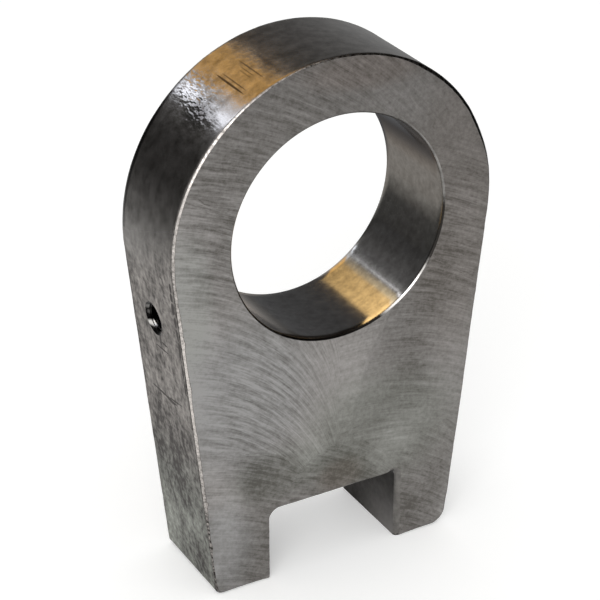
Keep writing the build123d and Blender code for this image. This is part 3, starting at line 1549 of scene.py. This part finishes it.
@dataclass(frozen=True)
class MottledSteel(SteelFinish):
    """Plain cut steel with mottled tone: the notch, the feet, the broken edges and the port."""

    dark: str = "#45423f"
    light: str = "#6b6763"
    ground: float = 0.5
    mottle: float = 1.0
    mottle_range: tuple[float, float] = (0.35, 0.65)
    smooth: float = 0.4
    rough: float = 0.55
    cell: float = 3 * MM
    patches: tuple[Patch, ...] = ()
    seen_from_side: bool = False

    def marks(self, add: Add, place: NodeSocket) -> Marks:
        """Draw uneven tone, gloss and relief from one noise, with patches where the steel differs and
        patches of painted highlight and shade.

        Args:
            add: Adds a node to the material.
            place: Object coordinates.

        Returns:
            The marks.
        """
        mottle = add("ShaderNodeTexNoise", {
            "Vector": place, "Scale": 1 / self.cell, "Detail": 4.0, "Roughness": 0.65,
        })
        spread = add("ShaderNodeMapRange", {
            "Value": mottle, "From Min": self.mottle_range[0], "From Max": self.mottle_range[1],
            "To Min": self.ground - self.mottle / 2, "To Max": self.ground + self.mottle / 2,
        })
        seen = side_map(add, place, edge=1.0) if self.seen_from_side else place
        tone = add("ShaderNodeClamp", {"Value": add_patches(add, seen, self.patches, spread)})
        colour = add("ShaderNodeMix", {0: tone, 6: linear(self.dark), 7: linear(self.light)},
                     data_type="RGBA")
        roughness = add("ShaderNodeMapRange", {
            "Value": tone, "To Min": self.rough, "To Max": self.smooth,
        })
        return Marks(colour, roughness, mottle)


# A painted glint: a bright patch of colour in the port's mouth, on the tapped wall and on the thread
# alike.
PAINTED_GLINT = (-57.4, -31.0, 1.9, 1.2, 1.4)


def body_finishes(sizes: RodEndSizes) -> list[Material]:
    """Make the body's materials.

    Args:
        sizes: Sizes of the rod end.

    Returns:
        One material for each region, in the regions' order.
    """
    finishes = {
        Region.FACE: FlyCutFace(),
        Region.RIM: CutRim(head_x=sizes.head_x, head_z=sizes.head_z),
        Region.NOTCH: MottledSteel(
            title="sawn steel notch", dark="#1f1c19", light="#7b7876", ground=0.02, mottle=0.12,
            patches=patches((-18, -134, 32, 30, 0.9)), seen_from_side=True,
        ),
        Region.FOOT: MottledSteel(title="sawn steel foot", dark="#3c3936", light="#86837f"),
        Region.BORE: BoredWall(),
        # Filed edges; their patches darken them at the right, at the feet and on the left flank:
        # painted shade.
        Region.EDGE: MottledSteel(
            title="filed steel edge", dark="#1d1b1a", light="#7a7774", ground=0.55, mottle=0.8,
            smooth=0.25, rough=0.4, cell=1.4 * MM, patches=patches(
                (52, 30, 26, 60, -0.9), (62, -60, 16, 90, -1.2), (48, -128, 20, 32, -0.8),
                (-44, -135, 20, 12, -0.8), (-57, -30, 12, 50, -0.25),
            ),
        ),
        # Crest of the broken edges: lighter on the left and top where the lamp lies in them, as painted
        # highlight; darker at the right and the right foot, as painted shade.
        Region.CREST: MottledSteel(
            title="edge crest with painted highlight", dark="#2c2a28", light="#cdc7c2", ground=0.12, mottle=0.65,
            smooth=0.25, rough=0.4, cell=1.2 * MM, patches=patches(
                (-50, 26, 46, 42, 0.58), (-34, 50, 16, 12, 0.5), (-16, 58, 24, 10, 0.3),
                (-56, -46, 16, 92, 0.78), (52, 30, 18, 60, -0.3), (48, -128, 20, 32, -0.3),
            ),
        ),
        # Broken edges of the bore: painted highlight at the lower right and, faintly, the upper right;
        # painted shade at the right and at the bottom.
        Region.MOUTH: MottledSteel(
            title="turned steel edge", dark="#2b2927", light="#e6e3df", ground=0.16, mottle=0.16,
            smooth=0.2, rough=0.35, patches=patches(
                (24, -31, 15, 12, 1.0, -38), (38.5, -10, 10, 16, -0.6), (36, 18, 24, 36, 0.12),
                (-10, -42, 30, 14, -0.5), (13, -38.5, 8, 6, -0.8),
            ),
        ),
        Region.RUBBED: MottledSteel(
            title="rubbed steel corner", dark="#2b2826", light="#a5a29e", ground=0.38, mottle=0.2,
            smooth=0.3, rough=0.45,
        ),
        # Near-black tapped wall with the painted glint and two fainter painted highlights by the left
        # rim.
        Region.PORT: MottledSteel(
            title="tapped steel", dark="#050404", light="#d5d2ce", ground=0.0, mottle=0.04,
            smooth=0.25, rough=0.4, cell=0.8 * MM, patches=patches(
                PAINTED_GLINT, (-58.3, -25.0, 1.5, 1.5, 0.25), (-57.5, -27.3, 1.2, 1.4, 0.20),
            ),
        ),
    }
    return [finishes[region].build() for region in Region]


def hide_from_all_but_gloss(card: Object) -> None:
    """Let a card show only in glossy reflections.

    Args:
        card: Object of the card.
    """
    card.visible_camera = False
    card.visible_diffuse = False
    card.visible_shadow = False


def disc(name: str, radius: float, steps: int, finish: Material) -> Mesh:
    """Make a flat round mesh about the Z axis.

    Args:
        name: Name of the mesh.
        radius: Its radius.
        steps: Number of steps round it.
        finish: Its material.

    Returns:
        The mesh.
    """
    ring = [2 * math.pi * k / steps for k in range(steps)]
    mesh = bpy.data.meshes.new(name)
    places = [(radius * math.cos(angle), radius * math.sin(angle), 0) for angle in ring]
    mesh.from_pydata(places, [], [tuple(range(steps))])
    mesh.materials.append(finish)
    return mesh


@dataclass(frozen=True)
class Card:
    """A long studio card beside the object, which shows only in the metal's reflections.

    It is bent round the Y axis: from one angle to another, seen along +Y with X to the right.
    """

    radius: float
    near: float
    far: float
    name: str
    start: float
    end: float
    colour: str
    start_level: float
    end_level: float
    far_share: float = 1.0
    steps: int = 24

    def build(self) -> None:
        """Make the card with a plain glow that changes evenly from its start to its end."""
        start, end = math.radians(self.start), math.radians(self.end)
        places = []
        for k in range(self.steps + 1):
            angle = start + (end - start) * k / self.steps
            x, z = self.radius * math.cos(angle), self.radius * math.sin(angle)
            places += [(x, self.near, z), (x, self.far, z)]
        faces = [(2 * k, 2 * k + 1, 2 * k + 3, 2 * k + 2) for k in range(self.steps)]
        mesh = bpy.data.meshes.new(self.name)
        mesh.from_pydata(places, [], faces)
        material = bpy.data.materials.new(self.name)
        mesh.materials.append(material)
        add = fresh_tree(material)
        place = add("ShaderNodeTexCoord").outputs["Object"]
        axes = add("ShaderNodeSeparateXYZ", {0: place}).outputs
        turn = add("ShaderNodeMath", {0: axes["Z"], 1: axes["X"]}, operation="ARCTAN2")
        # The angle is wrapped into one turn from a quarter turn before the card's start.
        angle = add("ShaderNodeMath", {
            0: turn, 1: start + 1.5 * math.pi, 2: start - math.pi / 2,
        }, operation="WRAP")
        level = add("ShaderNodeMapRange", {
            "Value": angle, "From Min": start, "From Max": end,
            "To Min": self.start_level, "To Max": self.end_level,
        })
        depth = add("ShaderNodeMapRange", {
            "Value": axes["Y"], "From Min": self.near, "From Max": self.far,
            "To Min": 1.0, "To Max": self.far_share,
        })
        strength = add("ShaderNodeMath", {0: level, 1: depth}, operation="MULTIPLY")
        glow = add("ShaderNodeEmission", {"Color": linear(self.colour), "Strength": strength})
        add("ShaderNodeOutputMaterial", {"Surface": glow})
        card = link_object(self.name, mesh)
        hide_from_all_but_gloss(card)
        card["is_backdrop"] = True


def bent_cards(radius: float, near: float, far: float, *rows: tuple[str | float, ...]) -> list[Card]:
    """Cards of one radius and length.

    Args:
        radius: Their distance from the Y axis.
        near: Y of their front ends.
        far: Y of their back ends.
        *rows: The rest of each card's fields, in their order.

    Returns:
        The cards, in the rows' order.
    """
    return [Card(radius, near, far, *row) for row in rows]


@dataclass(frozen=True)
class Studio:
    """Pale floor, white surroundings, one soft lamp and the cards round the object."""

    floor_z: float
    floor_radius: float = 4.0
    floor_steps: int = 96
    floor_colour: str = "#f4f4f3"
    floor_lift: float = 0.24
    ambient: float = 0.8
    lamp_place: Vector = Vector((-0.95, -1.1, 0.75))
    lamp_size: float = 1.0
    lamp_power: float = 10.0
    flash_place: Vector = Vector((-0.41, -0.72, 0.42))
    flash_radius: float = 0.10
    flash_steps: int = 48
    flash_level: float = 5.0
    cards: tuple[Card, ...] = (
        *bent_cards(1.5, 0.2, 4.0, ("grey_card_right", 0, 77, "#ffffff", 0.40, 0.21)),
        *bent_cards(0.19, 0.05, 0.8, ("grey_card_low", -40, 16, "#ffffff", 0.40, 0.37)),
        *bent_cards(0.35, -1.2, 0.2, ("dark_card_front", -30, 76, "#ffffff", 0.03, 0.03)),
        *bent_cards(
            1.5, -0.3, 4.0,
            ("warm_card", 82, 112, "#ffca7a", 2.6, 2.75),
            ("pale_card", 112, 121, "#f4f7ff", 2.2, 2.5),
            ("strip_card", 121, 126, "#eaf1ff", 3.0, 9.5),
            ("falling_strip_card", 126, 132, "#eaf1ff", 9.5, 0.8),
        ),
        *bent_cards(
            0.25, 0.12, 2.5,
            ("fading_strip_left", 132, 150, "#ffffff", 0.45, 0.13),
            ("dark_card_left", 150, 177, "#ffffff", 0.11, 0.10),
            ("fading_card_left", 177, 199, "#ffffff", 0.10, 0.455),
            ("grey_card_left", 199, 224, "#ffffff", 0.46, 0.76),
        ),
        *bent_cards(0.055, 0.019, 0.056, ("corner_bore_card", -38, 68, "#ffeee2", 0.05, 0.03)),
        *bent_cards(0.055, 0.056, 0.20, ("dark_bore_card", -38, 68, "#f7f9ff", 0.185, 0.155)),
        *bent_cards(
            0.055, 0.022, 0.141,
            ("warm_bore_card", 68, 103, "#ffd795", 6.2, 6.2, 0.1),
            ("beige_bore_card", 103, 114, "#ffecc8", 5.4, 2.0, 0.1),
            ("pale_bore_card", 114, 116.2, "#f8f9ff", 1.7, 1.7, 0.1),
            ("strip_bore_card", 116.2, 118.6, "#f4f7ff", 7.6, 7.6, 0.0),
        ),
        *bent_cards(
            0.055, 0.022, 0.20,
            ("fading_bore_card", 118.6, 130.5, "#fafbff", 0.85, 0.32, 0.5),
            ("shaded_bore_card", 130.5, 150, "#fafbff", 0.31, 0.23),
            ("deep_bore_card", 150, 176, "#fafbff", 0.20, 0.13),
            ("dim_bore_card", 176, 217, "#ffffff", 0.13, 0.17),
            ("rising_bore_card", 217, 241, "#fffcf8", 0.22, 0.66),
            ("grey_bore_card", 241, 281, "#fffaf5", 0.67, 0.65),
            ("falling_bore_card", 281, 301, "#fff5ec", 0.62, 0.37),
            ("low_bore_card", 301, 322, "#fffbf8", 0.37, 0.14),
        ),
    )

    def build(self) -> None:
        """Set up the floor, the world, the lamp and the cards."""
        self.build_floor()
        self.build_world()
        self.build_lamp()
        self.build_flash()
        for card in self.cards:
            card.build()

    def background_rays(self, add: Add) -> Node:
        """Tell apart the rays that show the white background.

        Args:
            add: Adds a node to the material or the world.

        Returns:
            One for camera, glossy and transmission rays, and zero for the others.
        """
        path = add("ShaderNodeLightPath").outputs
        seen = add("ShaderNodeMath", {
            0: path["Is Camera Ray"], 1: path["Is Glossy Ray"],
        }, operation="MAXIMUM")
        return add("ShaderNodeMath", {0: seen, 1: path["Is Transmission Ray"]}, operation="MAXIMUM")

    def build_floor(self) -> None:
        """A pale matt floor that the feet stand on and that keeps the object's shadow."""
        material = bpy.data.materials.new("pale matt floor")
        add = fresh_tree(material)
        matt = add("ShaderNodeBsdfDiffuse", {"Color": linear(self.floor_colour)})
        lift = add("ShaderNodeMath", {0: self.background_rays(add), 1: self.floor_lift},
                        operation="MULTIPLY")
        glow = add("ShaderNodeEmission", {"Strength": lift})
        both = add("ShaderNodeAddShader", {0: matt, 1: glow})
        add("ShaderNodeOutputMaterial", {"Surface": both})
        mesh = disc("floor", self.floor_radius, self.floor_steps, material)
        mesh.transform(Matrix.Translation((0, 0, self.floor_z)))
        link_object("floor", mesh)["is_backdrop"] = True

    def build_world(self) -> None:
        """White where it is seen or mirrored, and a plain soft light on everything else."""
        world = bpy.data.worlds.new("studio")
        bpy.context.scene.world = world
        add = fresh_tree(world)
        level = add("ShaderNodeMapRange", {
            "Value": self.background_rays(add), "To Min": self.ambient, "To Max": 1.0,
        })
        sky = add("ShaderNodeBackground", {"Color": (1, 1, 1, 1), "Strength": level})
        add("ShaderNodeOutputWorld", {"Surface": sky})

    def build_lamp(self) -> None:
        """One large soft lamp at the front left."""
        light = bpy.data.lights.new("soft_lamp", "AREA")
        light.size = self.lamp_size
        light.energy = self.lamp_power
        lamp = link_object("soft_lamp", light)
        lamp.location = self.lamp_place
        lamp.rotation_euler = (-self.lamp_place).to_track_quat("-Z", "Y").to_euler()
        lamp.visible_camera = False

    def build_flash(self) -> None:
        """A small bright disc behind the camera, which only glossy edges show."""
        material = bpy.data.materials.new("flash_card")
        add = fresh_tree(material)
        glow = add("ShaderNodeEmission", {"Strength": self.flash_level})
        add("ShaderNodeOutputMaterial", {"Surface": glow})
        mesh = disc("flash_card", self.flash_radius, self.flash_steps, material)
        turn = self.flash_place.to_track_quat("Z", "Y").to_matrix().to_4x4()
        mesh.transform(Matrix.Translation(self.flash_place) @ turn)
        card = link_object("flash_card", mesh)
        hide_from_all_but_gloss(card)
        card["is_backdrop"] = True


@dataclass(frozen=True)
class PhotoCamera:
    """Camera at the photograph's viewing angle, for a square picture."""

    azimuth: float = math.radians(29.551)
    elevation: float = math.radians(28.484)
    roll: float = math.radians(-0.086)
    distance: float = 722.5 * MM
    aim: Vector = Vector((-4.68 * MM, 0, -34.0 * MM))
    lens: float = 127.73
    sensor: float = 36.0
    clip_start: float = 10 * MM

    def build(self) -> None:
        """Place the camera and make it the scene's own."""
        level = math.cos(self.elevation)
        across, ahead = math.sin(self.azimuth), math.cos(self.azimuth)
        forward = Vector((across * level, ahead * level, -math.sin(self.elevation)))
        right = Vector((ahead, -across, 0))
        turn = Matrix((right, right.cross(forward), -forward)).transposed()
        turn @= Matrix.Rotation(self.roll, 3, "Z").inverted()
        data = bpy.data.cameras.new("photo_camera")
        data.lens = self.lens
        data.sensor_width = self.sensor
        data.clip_start = self.clip_start
        camera = link_object("photo_camera", data)
        camera.matrix_world = Matrix.Translation(self.aim - forward * self.distance) @ turn.to_4x4()
        bpy.context.scene.camera = camera


def main() -> None:
    """Build the rod end, then the studio round it."""
    logging.basicConfig(level=logging.INFO, format="%(name)s: %(message)s")
    sizes = RodEndSizes.from_frame(frame["record"])
    PhotoCamera().build()
    body = RodEndBody(sizes).build(body_finishes(sizes))
    # The thread carries the same painted glint.
    thread_finish = MottledSteel(
        title="cut steel thread", dark="#0b0a09", light="#fbfaf8", ground=0.0, mottle=0.04,
        smooth=0.12, rough=0.3, cell=1.0 * MM, relief=0.004 * MM, patches=patches(PAINTED_GLINT),
    )
    thread = PortThread(sizes).build(thread_finish.build())
    for piece in (body, thread):
        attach(piece, RIDES_ON)
        LOG.info("%s has %d faces", piece.name, len(piece.data.polygons))
    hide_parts(BODY_NODE)
    Studio(floor_z=sizes.feet_z).build()
    bpy.context.scene.view_settings.view_transform = "Standard"
    boxes = {"cad": CAD_BOX, "visual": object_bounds()}
    {name: [list(corner) for corner in box] for name, box in boxes.items()}


if __name__ == "__main__":
    main()
